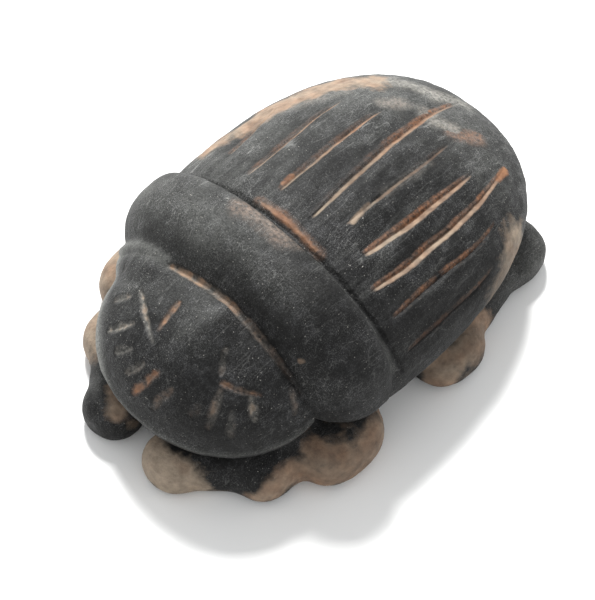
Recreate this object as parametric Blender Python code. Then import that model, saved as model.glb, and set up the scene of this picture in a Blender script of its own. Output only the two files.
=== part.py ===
"""A scarab amulet carved from one stone: wing cases, thorax, head plate and legs on a flat underside.

The head points to -Y and the tail to +Y, +Z is up, and the amulet rests on Z = 0.
The origin is at the middle of the amulet's length and width, on the resting plane.
"""

import math

import bmesh
import bpy
from mathutils import Vector

MM = 0.001

# Lengths along the shell, from the tail to the toes
WING_LENGTH = 14.20 * MM
THORAX_LENGTH = 3.83 * MM
HEAD_LENGTH = 5.53 * MM
TOE_REACH = 0.80 * MM

# Wing cases: a dome on the shell's edge
EDGE_HEIGHT = 4.24 * MM
SHELL_DEPTH = 2.2 * MM
WING_HALF_WIDTH = 7.87 * MM
WING_RISE = 5.05 * MM
WIDEST_FROM_TAIL = 11.75 * MM
WING_TUCK = 0.3 * MM

# Thorax: a dome that stands a little proud of the wing cases and of the head
THORAX_HALF_WIDTH = 7.85 * MM
THORAX_RISE = 5.8 * MM
THORAX_AHEAD = 3.45 * MM
THORAX_BEHIND = 3.3 * MM
THORAX_SHIFT = -0.15 * MM
NECK_INSET = 2.73 * MM

# Head plate: a flatter dome with a thin rim
HEAD_HALF_WIDTH = 5.85 * MM
HEAD_RISE = 4.38 * MM
HEAD_INSET = 0.40 * MM
RIM_HEIGHT = 3.55 * MM
RIM_THICKNESS = 0.6 * MM

# The raised ridge between the eyes: where it starts and how long it is are shares of the head's length
RIDGE_RADIUS = 0.95 * MM
RIDGE_RISE = 0.28 * MM
RIDGE_SHIFT = 0.6 * MM
RIDGE_START = 0.04
RIDGE_SPAN = 0.66
RIDGE_STEPS = 9

# The belly, a pad with a flat underside
BELLY_HALF_WIDTH = 6.0 * MM
BELLY_HALF_LENGTH = 9.7 * MM
BELLY_SHIFT = 0.6 * MM
BELLY_HEIGHT = 4.6 * MM

# Legs
SHIN_RADIUS = 1.3 * MM
THIGH_RADIUS = 1.3 * MM
HIP_HEIGHT = 2.6 * MM
LOBE_CENTRE_HEIGHT = 0.85 * MM
LOBE_UNDERCUT = 0.15 * MM
FORE_FOOT_SHIFT = -0.28 * MM

# Cut lines, as the depth of a V-shaped cut at its middle and the share of it left at each end
GROOVE_RADIUS = 0.28 * MM
STROKE_RADIUS = 0.21 * MM
SEAM_RADIUS = 0.24 * MM
GROOVE_STEP = 1.3 * MM
CUT_END = 0.35
NECK_SEAM_SPAN = 0.93
REAR_SEAM_SPAN = 0.97

# How round each bar is: 0 is four-sided, and each step more adds four sides
CUT_ROUNDNESS = 0
LEG_ROUNDNESS = 1
RIDGE_ROUNDNESS = 3

# How square each outline is: 2 is an ellipse, and more is squarer
WING_PLAN = 2.3
WING_PROFILE = 1.72
THORAX_PLAN = 2.7
THORAX_PROFILE = 2.1
HEAD_PLAN = 2.13
HEAD_PROFILE = 2.0
LOBE_PLAN = 2.3
LOBE_PROFILE = 2.6
FLAT_PROFILE = 4.0

# Faces round each form and from its top to its underside
WING_FACES = (44, 20)
THORAX_FACES = (40, 18)
HEAD_FACES = (40, 16)
BELLY_FACES = (28, 8)
LOBE_FACES = (16, 8)

# Places worked out from the lengths
TAIL_Y = (WING_LENGTH + THORAX_LENGTH + HEAD_LENGTH + TOE_REACH) / 2
REAR_LINE_Y = TAIL_Y - WING_LENGTH
NECK_Y = REAR_LINE_Y - THORAX_LENGTH
HEAD_FRONT_Y = NECK_Y - HEAD_LENGTH
WIDEST_Y = TAIL_Y - WIDEST_FROM_TAIL
THORAX_Y = NECK_Y + NECK_INSET
WING_FRONT_Y = THORAX_Y + WING_TUCK
HEAD_Y = NECK_Y - HEAD_INSET
HEAD_AHEAD = HEAD_Y - HEAD_FRONT_Y

# Each lobe of a leg: place across and along, as shares of the wing cases' half width and of the
# amulet's half length, then its half width, half length and height
LOBES = {
    "fore_foot": (0.254, -0.890, 1.45 * MM, 1.40 * MM, 2.2 * MM),
    "fore_knee": (0.600, -0.662, 1.78 * MM, 1.70 * MM, 2.4 * MM),
    "mid_knee": (0.817, -0.386, 1.85 * MM, 2.40 * MM, 2.7 * MM),
    "hind_knee": (0.835, 0.215, 1.90 * MM, 2.05 * MM, 2.3 * MM),
    "hind_foot": (0.665, 0.727, 1.85 * MM, 1.95 * MM, 2.2 * MM),
}
SHINS = (("fore_foot", "fore_knee"), ("fore_knee", "mid_knee"), ("hind_knee", "hind_foot"))

# Each thigh: the lobe it ends in, then where it leaves the belly as the same two shares
THIGHS = (("fore_knee", 0.55, -0.45), ("mid_knee", 0.62, -0.12), ("hind_knee", 0.62, 0.02))

# Each groove of the wing cases: its share of the half width at its start and end, where it starts
# behind the thorax and how long it runs
GROOVES = (
    (-0.90, -0.90, 2.9 * MM, 3.0 * MM),
    (-0.71, -0.80, 2.2 * MM, 3.9 * MM),
    (-0.47, -0.53, 1.4 * MM, 7.0 * MM),
    (-0.22, -0.27, 1.5 * MM, 7.6 * MM),
    (0.06, -0.09, 1.3 * MM, 11.8 * MM),
    (0.22, 0.25, 2.2 * MM, 8.0 * MM),
    (0.42, 0.50, 1.9 * MM, 7.8 * MM),
    (0.59, 0.68, 1.0 * MM, 10.4 * MM),
    (0.76, 0.81, 1.1 * MM, 7.8 * MM),
    (0.92, 0.93, 0.8 * MM, 6.6 * MM),
)

# Each short stroke of the head: how far it turns from straight ahead at its outer and inner end, in
# degrees, then where it ends and starts as shares of the way to the rim
STROKES = (
    (-82, -84, 0.91, 0.82),
    (-62, -61, 0.86, 0.70),
    (-45, -39, 0.91, 0.68),
    (-31, -24, 0.90, 0.77),
    (-17, -10, 0.91, 0.76),
    (-7, 2, 0.96, 0.73),
    (7, 16, 0.95, 0.77),
    (30, 35, 0.90, 0.80),
    (40, 48, 0.93, 0.67),
    (51, 53, 0.96, 0.81),
    (64, 66, 0.90, 0.74),
    (85, 89, 0.95, 0.81),
)

# The cuts round each eye, as millimetres across and ahead of the neck
EYE_CUTS = (
    ((-3.4, 1.9), (-2.1, 2.9), (-0.8, 3.6)),
    ((-1.3, 1.4), (-1.1, 3.1)),
    ((1.8, 1.6), (2.5, 2.7)),
    ((2.6, 2.9), (3.4, 2.5), (4.3, 1.8)),
)

BLACK_STONE = (0.018, 0.019, 0.022, 1.0)


def signed_power(value, power):
    return math.copysign(abs(value) ** power, value)


def rounded(share, power):
    """How far a superellipse of radius 1 reaches at this share of its other radius."""
    return max(0.0, 1.0 - abs(share) ** power) ** (1.0 / power)


def wing_half_width(y):
    return WING_HALF_WIDTH * rounded((y - WIDEST_Y) / WIDEST_FROM_TAIL, WING_PLAN)


def share_of_outline(x, y, half_width, half_length, plan):
    return (abs(x / half_width) ** plan + abs(y / half_length) ** plan) ** (1.0 / plan)


def wing_surface(x, y):
    share = share_of_outline(x, y - WIDEST_Y, WING_HALF_WIDTH, WIDEST_FROM_TAIL, WING_PLAN)
    return EDGE_HEIGHT + WING_RISE * rounded(min(share, 1.0), WING_PROFILE)


def head_surface(x, y):
    share = share_of_outline(x, y - HEAD_Y, HEAD_HALF_WIDTH, HEAD_AHEAD, HEAD_PLAN)
    return RIM_HEIGHT + HEAD_RISE * rounded(min(share, 1.0), HEAD_PROFILE)


def thorax_surface(x, y):
    half_length = THORAX_AHEAD if y < THORAX_Y else THORAX_BEHIND
    share = share_of_outline(x - THORAX_SHIFT, y - THORAX_Y, THORAX_HALF_WIDTH, half_length, THORAX_PLAN)
    return EDGE_HEIGHT + THORAX_RISE * rounded(min(share, 1.0), THORAX_PROFILE)


def neck_line(x):
    """Where the thorax comes down to the head plate, found by halving the stretch between them."""
    front = THORAX_Y - THORAX_AHEAD
    back = THORAX_Y
    for _ in range(24):
        middle = (front + back) / 2
        if thorax_surface(x, middle) > head_surface(x, middle):
            back = middle
        else:
            front = middle
    return back


def new_collection(name):
    found = bpy.data.collections.new(name)
    bpy.context.scene.collection.children.link(found)
    return found


def new_object(name, mesh, collection):
    made = bpy.data.objects.new(name, mesh)
    collection.objects.link(made)
    return made


def mesh_from(bm, name):
    """The finished mesh, in triangles, because a bent face upsets the Booleans."""
    bmesh.ops.triangulate(bm, faces=bm.faces)
    mesh = bpy.data.meshes.new(name)
    bm.to_mesh(mesh)
    bm.free()
    return mesh


def boulder(place, half_width, ahead, behind, above, below, powers, counts):
    """A closed rounded solid whose plan and upright section are superellipses.

    powers holds how square the plan, the top and the underside are, and counts holds the faces round
    it and from pole to pole.
    """
    plan, top, under = powers
    bm = bmesh.new()
    around, down = (round(count) for count in counts)
    bmesh.ops.create_uvsphere(bm, u_segments=around, v_segments=down, radius=1.0)
    for point in bm.verts:
        turn = math.atan2(point.co.y, point.co.x)
        lift = math.asin(max(-1.0, min(1.0, point.co.z)))
        profile = top if lift >= 0 else under
        spread = abs(math.cos(lift)) ** (2.0 / profile)
        length = ahead if point.co.y < 0 else behind
        height = above if lift >= 0 else below
        point.co = Vector((
            place[0] + half_width * spread * signed_power(math.cos(turn), 2.0 / plan),
            place[1] + length * spread * signed_power(math.sin(turn), 2.0 / plan),
            place[2] + height * signed_power(math.sin(lift), 2.0 / profile),
        ))
    return bm


def cut_flat(bm, place, outward):
    """Takes away what lies outward of a plane and closes the cut."""
    everything = bm.verts[:] + bm.edges[:] + bm.faces[:]
    bmesh.ops.bisect_plane(bm, geom=everything, plane_co=place, plane_no=outward, clear_outer=True)
    bmesh.ops.holes_fill(bm, edges=[edge for edge in bm.edges if edge.is_boundary])
    bmesh.ops.recalc_face_normals(bm, faces=bm.faces)


def tube(name, points, radii, collection, roundness):
    """A bar through these points, as thick at each as its own radius, closed at both ends.

    A four-sided bar has one edge down, so it cuts a V.
    """
    curve = bpy.data.curves.new(name, "CURVE")
    curve.dimensions = "3D"
    curve.bevel_depth = 1.0
    curve.bevel_resolution = round(roundness)
    curve.use_fill_caps = True
    spline = curve.splines.new("POLY")
    spline.points.add(len(points) - 1)
    for knot, place, radius in zip(spline.points, points, radii):
        knot.co = (*place, 1.0)
        knot.radius = radius
    drawn = bpy.data.objects.new(name, curve)
    collection.objects.link(drawn)
    bpy.context.view_layer.update()
    graph = bpy.context.evaluated_depsgraph_get()
    mesh = bpy.data.meshes.new_from_object(drawn.evaluated_get(graph))
    bpy.data.objects.remove(drawn)
    bpy.data.curves.remove(curve)
    bm = bmesh.new()
    bm.from_mesh(mesh)
    bpy.data.meshes.remove(mesh)
    bmesh.ops.remove_doubles(bm, verts=bm.verts, dist=0.0001 * MM)
    return new_object(name, mesh_from(bm, name), collection)


def cut_along(name, points, radius, collection):
    """A cutter that is as thick as radius at its middle and thins out to its ends."""
    last = len(points) - 1
    swell = [math.sin(math.pi * step / last) ** 0.5 for step in range(last + 1)]
    radii = [radius * (CUT_END + (1.0 - CUT_END) * fullness) for fullness in swell]
    return tube(name, points, radii, collection, CUT_ROUNDNESS)


def add_wing_cases(collection):
    bm = boulder(
        (0.0, WIDEST_Y, EDGE_HEIGHT), WING_HALF_WIDTH, WIDEST_FROM_TAIL, WIDEST_FROM_TAIL,
        WING_RISE, SHELL_DEPTH, (WING_PLAN, WING_PROFILE, WING_PROFILE), WING_FACES,
    )
    cut_flat(bm, (0.0, WING_FRONT_Y, 0.0), (0.0, -1.0, 0.0))
    return new_object("wing_cases", mesh_from(bm, "wing_cases"), collection)


def add_thorax(collection):
    bm = boulder(
        (THORAX_SHIFT, THORAX_Y, EDGE_HEIGHT), THORAX_HALF_WIDTH, THORAX_AHEAD, THORAX_BEHIND,
        THORAX_RISE, SHELL_DEPTH, (THORAX_PLAN, THORAX_PROFILE, THORAX_PROFILE), THORAX_FACES,
    )
    cut_flat(bm, (0.0, REAR_LINE_Y, 0.0), (0.0, 1.0, 0.0))
    return new_object("thorax", mesh_from(bm, "thorax"), collection)


def add_head(collection):
    bm = boulder(
        (0.0, HEAD_Y, RIM_HEIGHT), HEAD_HALF_WIDTH, HEAD_AHEAD, NECK_INSET,
        HEAD_RISE, RIM_THICKNESS, (HEAD_PLAN, HEAD_PROFILE, FLAT_PROFILE), HEAD_FACES,
    )
    return new_object("head_plate", mesh_from(bm, "head_plate"), collection)


def add_ridge(collection):
    """The raised ridge between the eyes, a bar sunk into the head plate up to its ends."""
    points = []
    radii = []
    for step in range(RIDGE_STEPS):
        share = step / (RIDGE_STEPS - 1)
        y = NECK_Y - (RIDGE_START + share * RIDGE_SPAN) * HEAD_LENGTH
        radii.append(RIDGE_RADIUS)
        rise = RIDGE_RISE * math.sin(math.pi * share)
        points.append((RIDGE_SHIFT, y, head_surface(RIDGE_SHIFT, y) + rise - RIDGE_RADIUS))
    return tube("ridge", points, radii, collection, RIDGE_ROUNDNESS)


def add_belly(collection):
    bm = boulder(
        (0.0, BELLY_SHIFT, BELLY_HEIGHT), BELLY_HALF_WIDTH, BELLY_HALF_LENGTH, BELLY_HALF_LENGTH,
        SHELL_DEPTH, 2.0 * BELLY_HEIGHT, (WING_PLAN, WING_PLAN, FLAT_PROFILE), BELLY_FACES,
    )
    return new_object("scarab", mesh_from(bm, "scarab"), collection)


def leg_place(across, along, height):
    return Vector((across * WING_HALF_WIDTH, along * TAIL_Y, height))


def lobe_place(name, side):
    across, along = LOBES[name][:2]
    shift = FORE_FOOT_SHIFT if name == "fore_foot" else 0.0
    return leg_place(side * across, along, LOBE_CENTRE_HEIGHT) + Vector((shift, 0.0, 0.0))


def add_legs(collection):
    for side, word in ((-1, "right"), (1, "left")):
        for name, (_, _, half_width, half_length, height) in LOBES.items():
            bm = boulder(
                lobe_place(name, side), half_width, half_length, half_length,
                height - LOBE_CENTRE_HEIGHT, LOBE_CENTRE_HEIGHT + LOBE_UNDERCUT,
                (LOBE_PLAN, LOBE_PROFILE, LOBE_PLAN), LOBE_FACES,
            )
            new_object(f"{word}_{name}", mesh_from(bm, name), collection)
        for first, last in SHINS:
            ends = (lobe_place(first, side), lobe_place(last, side))
            tube(f"{word}_{first}_shin", ends, (SHIN_RADIUS, SHIN_RADIUS), collection, LEG_ROUNDNESS)
        for name, across, along in THIGHS:
            ends = (lobe_place(name, side), leg_place(side * across, along, HIP_HEIGHT))
            tube(f"{word}_{name}_thigh", ends, (THIGH_RADIUS, THIGH_RADIUS), collection, LEG_ROUNDNESS)


def add_groove_cutters(collection):
    for number, (front_share, back_share, start, length) in enumerate(GROOVES):
        points = []
        steps = max(4, round(length / GROOVE_STEP))
        for step in range(steps + 1):
            y = REAR_LINE_Y + start + length * step / steps
            x = (front_share + (back_share - front_share) * step / steps) * wing_half_width(y)
            points.append((x, y, wing_surface(x, y)))
        cut_along(f"groove_{number}", points, GROOVE_RADIUS, collection)


def add_stroke_cutters(collection):
    for number, (outer_turn, inner_turn, outer, inner) in enumerate(STROKES):
        points = []
        for step in range(4):
            turn = math.radians(outer_turn + (inner_turn - outer_turn) * step / 3)
            across = math.sin(turn)
            along = -math.cos(turn)
            reach = 1.0 / share_of_outline(across, along, HEAD_HALF_WIDTH, HEAD_AHEAD, HEAD_PLAN)
            distance = reach * (outer + (inner - outer) * step / 3)
            x = across * distance
            y = HEAD_Y + along * distance
            points.append((x, y, head_surface(x, y)))
        cut_along(f"stroke_{number}", points, STROKE_RADIUS, collection)


def add_eye_cutters(collection):
    for number, corners in enumerate(EYE_CUTS):
        points = []
        for x, ahead in corners:
            place = (x * MM, NECK_Y - ahead * MM)
            points.append((*place, head_surface(*place)))
        middle = [tuple((a + b) / 2 for a, b in zip(*pair)) for pair in zip(points, points[1:])]
        path = [place for pair in zip(points, middle) for place in pair] + [points[-1]]
        cut_along(f"eye_{number}", path, STROKE_RADIUS, collection)


def add_seam_cutters(collection):
    """The line between head and thorax, and the line between thorax and wing cases."""
    steps = 20
    neck = []
    rear = []
    for step in range(steps + 1):
        share = 2.0 * step / steps - 1.0
        x = NECK_SEAM_SPAN * share * HEAD_HALF_WIDTH
        y = neck_line(x) - SEAM_RADIUS / 2
        neck.append((x, y, head_surface(x, y)))
        x = REAR_SEAM_SPAN * math.sin(share * math.pi / 2) * wing_half_width(REAR_LINE_Y)
        y = REAR_LINE_Y + SEAM_RADIUS
        rear.append((x, y, wing_surface(x, y)))
    cut_along("neck_seam", neck, SEAM_RADIUS, collection)
    cut_along("rear_seam", rear, SEAM_RADIUS, collection)


def add_ground_cutter(collection):
    """A block whose top is the resting plane."""
    bm = bmesh.new()
    size = 4.0 * TAIL_Y
    bmesh.ops.create_cube(bm, size=size)
    bmesh.ops.translate(bm, vec=(0.0, 0.0, -size / 2), verts=bm.verts)
    return new_object("ground", mesh_from(bm, "ground"), collection)


def boolean(target, kind, name, operand):
    modifier = target.modifiers.new(name, "BOOLEAN")
    modifier.operation = kind
    modifier.solver = "MANIFOLD"
    if isinstance(operand, bpy.types.Collection):
        modifier.operand_type = "COLLECTION"
        modifier.collection = operand
    else:
        modifier.object = operand


def stone_material():
    made = bpy.data.materials.new("black_stained_stone")
    made.use_nodes = True
    shader = made.node_tree.nodes["Principled BSDF"]
    shader.inputs["Base Color"].default_value = BLACK_STONE
    shader.inputs["Roughness"].default_value = 0.72
    shader.inputs["Metallic"].default_value = 0.0
    made.diffuse_color = BLACK_STONE
    return made


def hide(collection):
    collection.hide_render = True
    for tool in collection.objects:
        tool.hide_render = True
        tool.display_type = "WIRE"


def main():
    for old in list(bpy.data.objects):
        bpy.data.objects.remove(old)
    finished = new_collection("scarab_amulet")
    forms = new_collection("joined_forms")
    cutters = new_collection("cutters")
    scarab = add_belly(finished)
    add_wing_cases(forms)
    add_head(forms)
    add_thorax(forms)
    add_ridge(forms)
    add_legs(forms)
    boolean(scarab, "UNION", "Shell and legs", forms)
    add_groove_cutters(cutters)
    add_stroke_cutters(cutters)
    add_eye_cutters(cutters)
    add_seam_cutters(cutters)
    add_ground_cutter(cutters)
    boolean(scarab, "DIFFERENCE", "Carved lines and underside", cutters)
    scarab.data.materials.append(stone_material())
    scarab.data.shade_smooth()
    scarab.data.set_sharp_from_angle(angle=math.radians(35))
    hide(forms)
    hide(cutters)


main()
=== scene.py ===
"""A small black-stained stone scarab amulet on a pale table, seen from above its front left.

The scarab's surface is worked out from the same forms as the solid, in millimetres, and then carved,
chipped and worn. The head points to -Y, the tail to +Y, the scarab's own left side to +X, and it
rests on Z = 0.
"""
import math

import bmesh
import bpy
import numpy as np
from mathutils import Matrix, Vector, noise


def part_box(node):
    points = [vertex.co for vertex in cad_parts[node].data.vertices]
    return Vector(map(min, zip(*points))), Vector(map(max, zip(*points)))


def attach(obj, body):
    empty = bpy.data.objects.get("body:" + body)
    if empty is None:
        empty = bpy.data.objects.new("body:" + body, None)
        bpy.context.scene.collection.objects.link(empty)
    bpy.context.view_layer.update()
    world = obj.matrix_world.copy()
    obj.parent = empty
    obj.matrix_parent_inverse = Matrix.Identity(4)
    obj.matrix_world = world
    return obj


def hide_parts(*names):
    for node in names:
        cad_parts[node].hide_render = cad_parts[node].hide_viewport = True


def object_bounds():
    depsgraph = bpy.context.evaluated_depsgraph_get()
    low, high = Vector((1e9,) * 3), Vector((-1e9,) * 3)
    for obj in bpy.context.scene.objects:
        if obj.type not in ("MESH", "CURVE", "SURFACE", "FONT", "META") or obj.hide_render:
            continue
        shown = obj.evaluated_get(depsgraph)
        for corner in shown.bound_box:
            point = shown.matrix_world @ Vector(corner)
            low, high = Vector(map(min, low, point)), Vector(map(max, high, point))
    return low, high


MM = 0.001

# A number too small to matter, and a distance beyond every reach, in millimetres
TINY = 1e-6
FAR_OFF = 9.0

# The net of the surface, in millimetres: its spacing, the distance at which doubles are merged, the
# height above which it is made finer, and how far beside a cut it is made finer again
NET_SPACING = 0.20
MERGE_DISTANCE = 0.001
FINER_ABOVE = 3.4
FINER_BESIDE = 0.12

# Shift between the octaves of a noise, so that they don't line up
OCTAVE_SHIFT = 17.0

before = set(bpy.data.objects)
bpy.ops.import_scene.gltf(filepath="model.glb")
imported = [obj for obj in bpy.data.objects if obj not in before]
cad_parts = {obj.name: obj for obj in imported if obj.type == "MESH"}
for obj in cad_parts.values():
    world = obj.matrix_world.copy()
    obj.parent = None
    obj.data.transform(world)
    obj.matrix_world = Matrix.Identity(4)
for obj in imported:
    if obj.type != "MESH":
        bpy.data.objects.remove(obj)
cad_low, cad_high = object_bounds()
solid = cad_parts["scarab"]
_, solid_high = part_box("scarab")

# Lengths along the shell, in millimetres, measured from the tail of the solid
WING_LENGTH = 14.20
THORAX_LENGTH = 3.83
HEAD_LENGTH = 5.53
TAIL_Y = solid_high[1] / MM
REAR_LINE_Y = TAIL_Y - WING_LENGTH
NECK_Y = REAR_LINE_Y - THORAX_LENGTH

# Forms of the shell, in millimetres, and the powers of their superellipses
EDGE_HEIGHT = 4.24
SHELL_DEPTH = 2.2
WING_HALF_WIDTH = 7.87
WING_RISE = 5.05
WIDEST_FROM_TAIL = 11.75
WIDEST_Y = TAIL_Y - WIDEST_FROM_TAIL
WING_PLAN = 2.3
WING_PROFILE = 1.72
THORAX_HALF_WIDTH = 7.85
THORAX_RISE = 5.8
THORAX_AHEAD = 3.45
THORAX_BEHIND = 3.3
THORAX_SHIFT = -0.15
THORAX_BEHIND_NECK = 2.73
THORAX_Y = NECK_Y + THORAX_BEHIND_NECK
THORAX_PLAN = 2.7
THORAX_PROFILE = 2.1
SHOULDER = 0.9
WING_START_Y = THORAX_Y + 0.3
HEAD_START = 0.40
HEAD_Y = NECK_Y - HEAD_START
HEAD_AHEAD = HEAD_LENGTH - HEAD_START
HEAD_BEHIND = 2.73
HEAD_HALF_WIDTH = 5.85
HEAD_RISE = 4.38
HEAD_PLAN = 2.13
HEAD_PROFILE = 2.0
RIM_HEIGHT = 3.55
RIM_THICKNESS = 0.6
FLAT_PROFILE = 4.0
RIDGE_RISE = 0.46
RIDGE_SHIFT = 0.6
RIDGE_HALF_WIDTH = 0.85
RIDGE_LENGTH = 0.75 * HEAD_LENGTH
RIDGE_BLUNTNESS = 0.7

# The head plate's raised right corner and the thin rib behind it: their paths and thicknesses
RIB = ((-6.7, -5.75, 4.3), (-6.0, -5.88, 5.45), (-5.2, -5.92, 6.45), (-4.4, -5.96, 6.95), (-3.4, -6.0, 7.25))
RIB_RADIUS = 0.20
CORNER = ((-5.9, -6.1, 4.2), (-5.3, -6.2, 5.2), (-4.6, -6.3, 6.05), (-3.8, -6.4, 6.55))
CORNER_RADIUS = 0.58

# Belly: place, half width and half length, reach up and down, and powers. Legs: each lobe's place as
# shares of the shell's half width and of the tail's distance, half width, half length and height
BELLY = ((0.0, 0.6, 4.6), (6.0, 9.7), (2.2, 9.2), (2.3, 2.3, 4.0))
LOBES = {
    "fore_foot": (0.254, -0.890, 1.45, 1.40, 2.2),
    "fore_knee": (0.600, -0.662, 1.78, 1.70, 2.4),
    "mid_knee": (0.817, -0.386, 1.85, 2.40, 2.7),
    "hind_knee": (0.835, 0.215, 1.90, 2.05, 2.3),
    "hind_foot": (0.665, 0.727, 1.85, 1.95, 2.2),
}
SHINS = (("fore_foot", "fore_knee"), ("fore_knee", "mid_knee"), ("hind_knee", "hind_foot"))
THIGHS = (("fore_knee", 0.55, -0.45), ("mid_knee", 0.62, -0.12), ("hind_knee", 0.62, 0.02))
SHIN_RADIUS = 1.3
THIGH_RADIUS = 1.3
HIP_HEIGHT = 2.6
LOBE_CENTRE_HEIGHT = 0.85
LOBE_UNDERCUT = 0.15
LOBE_POWERS = (2.3, 2.6, 2.3)
FORE_FOOT_SHIFT = -0.28

# Fillets between the forms
FOOT_FILLET = 0.25
LEG_FILLET = 0.4
SHELL_FILLET = 0.25
CORNER_FILLET = 0.9
RIB_FILLET = 0.3

# Grooves of the wing cases, from the right side to the left and counted from 0: share of the half
# width at both ends, start behind the thorax, length, half width, depth, how bare the lit wall is, and
# how brown the shaded wall is at both ends
GROOVES = (
    (-0.90, -0.90, 2.9, 3.0, 0.26, 0.15, 0.5, 0.2, 0.2),
    (-0.71, -0.80, 2.2, 3.9, 0.29, 0.19, 0.8, 0.3, 0.1),
    (-0.47, -0.53, 1.4, 7.0, 0.33, 0.23, 0.85, 0.3, 0.0),
    (-0.22, -0.27, 1.5, 7.6, 0.35, 0.26, 0.9, 0.3, 0.0),
    (0.06, -0.09, 1.3, 11.8, 0.38, 0.30, 0.9, 0.05, 1.1),
    (0.22, 0.25, 2.2, 8.0, 0.26, 0.14, 0.5, 0.0, 0.1),
    (0.42, 0.50, 1.9, 7.8, 0.35, 0.29, 0.95, 1.2, 0.2),
    (0.59, 0.68, 1.0, 10.4, 0.33, 0.28, 0.85, 0.75, 0.9),
    (0.76, 0.81, 1.1, 7.8, 0.30, 0.22, 0.12, 0.85, 0.85),
    (0.92, 0.93, 0.8, 6.6, 0.28, 0.17, 0.1, 0.4, 0.6),
)

# Where the graver was lifted: groove number and the share of its length, and how long the gap is
GAPS = {8: 0.42}
GAP_LENGTH = 0.05

# How a groove runs: its wander and the length of one turn of it, how far it marks the stone in half
# widths, its width at the tip, the valley worn beside it and the painted shade along its long wall
GROOVE_WANDER = 0.10
WANDER_LENGTH = 2.4
GROOVE_REACH = 4.4
GROOVE_TIP = 0.3
VALLEY_DEPTH = 0.68
GROOVE_PAINTED_SHADE = 0.85

# Short strokes of the head: turn from straight ahead at both ends in degrees, ends as shares of the
# way to the rim, then bareness and warmth
STROKES = (
    (-82, -84, 0.91, 0.82, 0.5, 0.1),
    (-62, -61, 0.86, 0.70, 0.5, 0.1),
    (-45, -39, 0.91, 0.68, 0.72, 0.0),
    (-31, -24, 0.90, 0.77, 0.5, 0.0),
    (-17, -10, 0.91, 0.76, 0.6, 0.2),
    (-7, 2, 0.96, 0.73, 0.85, 0.75),
    (7, 16, 0.95, 0.77, 0.5, 0.35),
    (30, 35, 0.90, 0.80, 0.2, 0.3),
    (40, 48, 0.93, 0.67, 0.62, 0.2),
    (51, 53, 0.96, 0.81, 0.4, 0.0),
    (64, 66, 0.90, 0.74, 0.62, 0.0),
    (85, 89, 0.95, 0.81, 0.5, 0.35),
)
STROKE_HALF_WIDTH = 0.30
STROKE_DEPTH = 0.13

# Cuts round each eye: corners as millimetres across and ahead of the neck, then bareness and warmth
EYE_CUTS = (
    (((-3.4, 1.9), (-2.1, 2.9), (-0.8, 3.6)), 0.68, 0.0),
    (((-1.3, 1.4), (-1.1, 3.1)), 0.9, 0.6),
    (((1.8, 1.6), (2.5, 2.7)), 0.4, 0.1),
    (((2.6, 2.9), (3.4, 2.5), (4.3, 1.8)), 0.66, 0.6),
)
EYE_HALF_WIDTH = 0.23
EYE_DEPTH = 0.15

# The two seams: their ends as shares of the half width there, then half width, depth, bareness at both
# ends and warmth, and how far each lies from where the forms meet
NECK_SPAN = (-0.62, 0.93)
NECK_CUT = (0.29, 0.15, 1.2, 0.1, 0.3)
NECK_INSET = 0.10
REAR_SPAN = 0.97
REAR_CUT = (0.25, 0.17, 0.0, 0.0, 0.5)
REAR_INSET = 0.20

# How far a plain line marks the stone, in its half widths
PLAIN_REACH = 2.0

# What is stored for the material at every point, among it painted light (with the dust) and painted shade,
# and which tint belongs to which strength
LOOKS = ("bare", "warm", "smear", "smear_warm", "dust_and_painted_light", "painted_shade")
TINT_OF = {"bare": "warm", "smear": "smear_warm"}

# Sizes of what is uneven, in millimetres: the graver's chatter, the ragged edges of grooves, of plain
# lines and of worn places, and the crumbs left in those
CHATTER_SIZE = 0.25
RAGGED_GROOVE_SIZE = 0.8
RAGGED_LINE_SIZE = 0.45
WORN_EDGE_SIZE = 1.1
CRUMB_SIZE = 0.22

# Size and height of the surface's low waves, of its grain and of the streaks along the wing cases
WAVE_SIZE = 2.4
WAVE_HEIGHT = 0.045
GRAIN_SIZE = 0.5
GRAIN_HEIGHT = 0.014
STREAK_WIDTH = 0.42
STREAK_LENGTH = 3.0
STREAK_HEIGHT = 0.022

# Before any wear: warmth of bare stone, painted shade low on the legs under the shell's edge and in the
# hollow behind the neck line, the side that is painted lighter as if lit by the window and how much, how
# far behind the seam the streaks begin in full, and how high the lip of the head plate stands
PLAIN_WARMTH = 0.4
UNDER_SHELL_SHADE = 0.45
NECK_SHADE = 0.75
NECK_SHADE_REACH = 0.75
NECK_SHADE_BEHIND = 0.55
PAINTED_LIGHT_SIDE = (-0.62, 0.42, 0.66)
PAINTED_LIGHT_AMOUNT = 0.45
SEAM_FADE = 0.6
LIP_RISE = 0.08

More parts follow.
